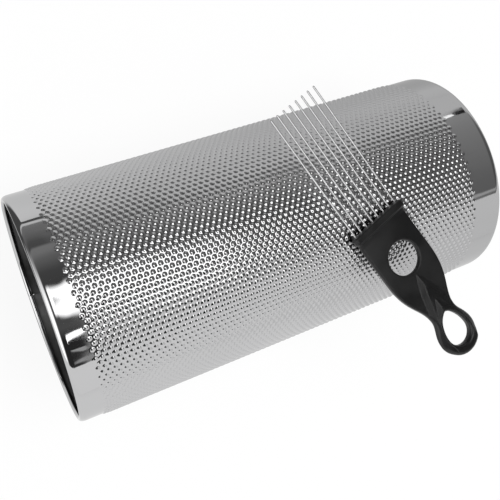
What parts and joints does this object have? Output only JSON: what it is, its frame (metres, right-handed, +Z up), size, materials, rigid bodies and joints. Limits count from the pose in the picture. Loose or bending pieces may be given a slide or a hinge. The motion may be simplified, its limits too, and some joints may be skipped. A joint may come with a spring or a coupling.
{
  "type": "guira",
  "caption": "Open metal scraper drum with rolled rims, plain end bands and an embossed bump field, and a loose comb-like scraper with wire tines that is stroked along it.",
  "frame": {"origin": "on the flat of the drum's lap seam, which it lies on, midway along the drum", "axes": "+X along the drum's axis, +Z up out of the scraped side, -Y towards the scraper's handle"},
  "size_m": [0.304, 0.1905, 0.1545],
  "materials": {
    "polished_sheet": "polished",
    "rim_wire": "satin",
    "tine_steel": "gloss",
    "black_plastic": "satin"
  },
  "bodies": {
    "drum": {"drum_shell": "polished_sheet", "rim_wire_left": "rim_wire", "rim_wire_right": "rim_wire"},
    "scraper": {"scraper_handle": "black_plastic", "tine_1": "tine_steel", "tine_2": "tine_steel", "tine_3": "tine_steel", "tine_4": "tine_steel", "tine_5": "tine_steel", "tine_6": "tine_steel", "tine_7": "tine_steel", "tine_8": "tine_steel"}
  },
  "joints": [
    {"name": "scraper_stroke", "type": "slide", "parent": "drum", "child": "scraper", "axis": [1, 0, 0], "range_m": [-0.14, 0.065]}
  ]
}
